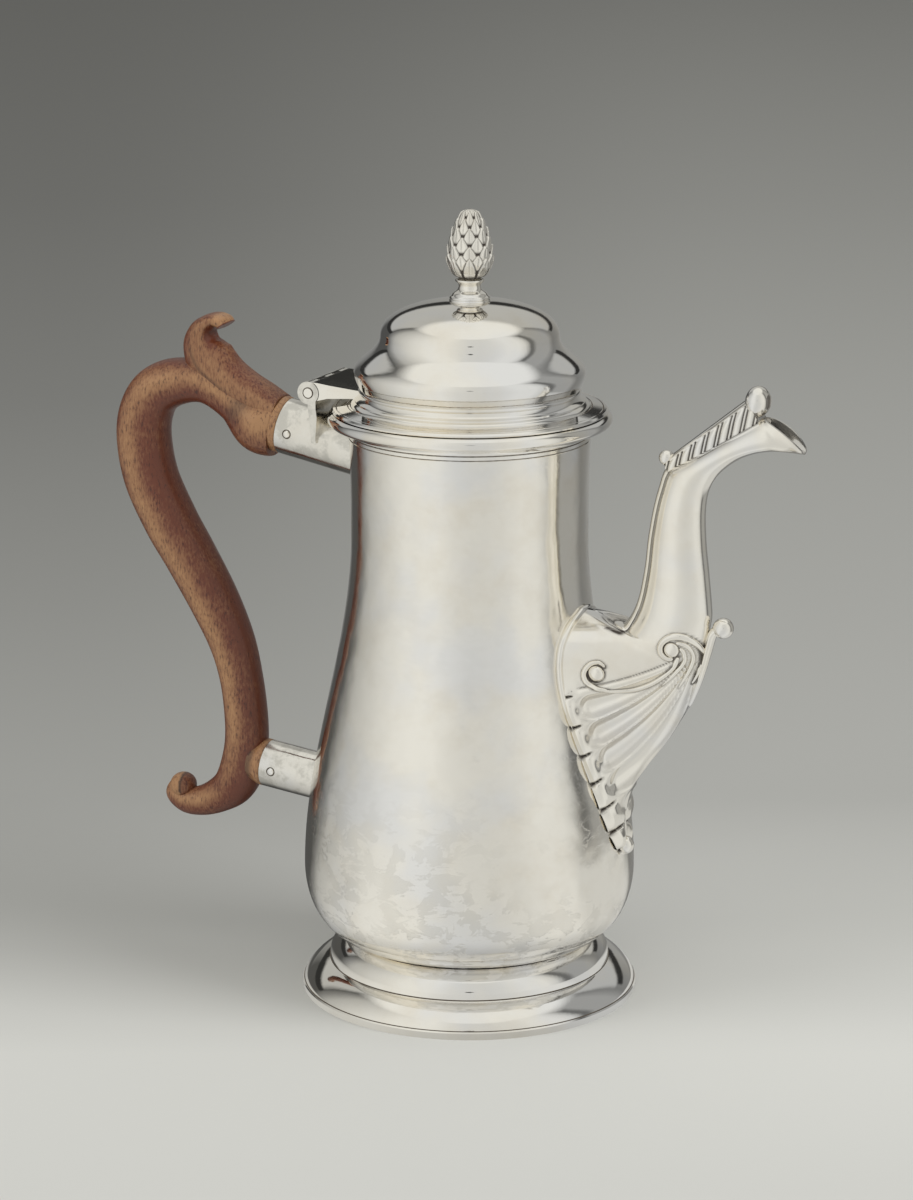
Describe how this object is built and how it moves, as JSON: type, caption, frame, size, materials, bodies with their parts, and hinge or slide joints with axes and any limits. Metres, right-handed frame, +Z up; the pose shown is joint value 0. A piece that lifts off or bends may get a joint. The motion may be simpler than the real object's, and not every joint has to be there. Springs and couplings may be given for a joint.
{
  "type": "coffee pot",
  "caption": "Baluster coffee pot on a spreading foot, with a hinged domed lid, a pine-cone finial, a shell-fluted spout with a crested beak, and a curved wooden handle in sockets.",
  "frame": {"origin": "centre of the foot's ring, on the surface that the pot stands on", "axes": "+Z up along the body's axis, +X towards the spout, -X towards the handle; the pot is symmetric about the X-Z plane"},
  "size_m": [0.2516, 0.1156, 0.27],
  "materials": {
    "silver": "polished",
    "wood": "waxed"
  },
  "bodies": {
    "pot": {"body_shell": "silver", "body_rim": "silver", "foot": "silver", "foot_rim": "silver", "spout_half_left": "silver", "spout_half_right": "silver", "spout_back_rib": "silver", "spout_crest": "silver", "spout_front_scroll": "silver", "spout_tail_drop": "silver", "upper_socket": "silver", "lower_socket": "silver", "upper_socket_pin": "silver", "lower_socket_pin": "silver", "handle": "wood", "hinge_stand": "silver", "hinge_pin": "silver"},
    "lid": {"lid_dome": "silver", "lid_flange": "silver", "lid_bezel": "silver", "lid_hinge_leaf": "silver", "finial": "silver", "finial_washer": "silver", "finial_nut": "silver"}
  },
  "joints": [
    {"name": "lid_hinge", "type": "hinge", "parent": "pot", "child": "lid", "pos_m": [-0.0534, 0, 0.2062], "axis": [0, -1, 0], "range_deg": [0, 105]}
  ]
}
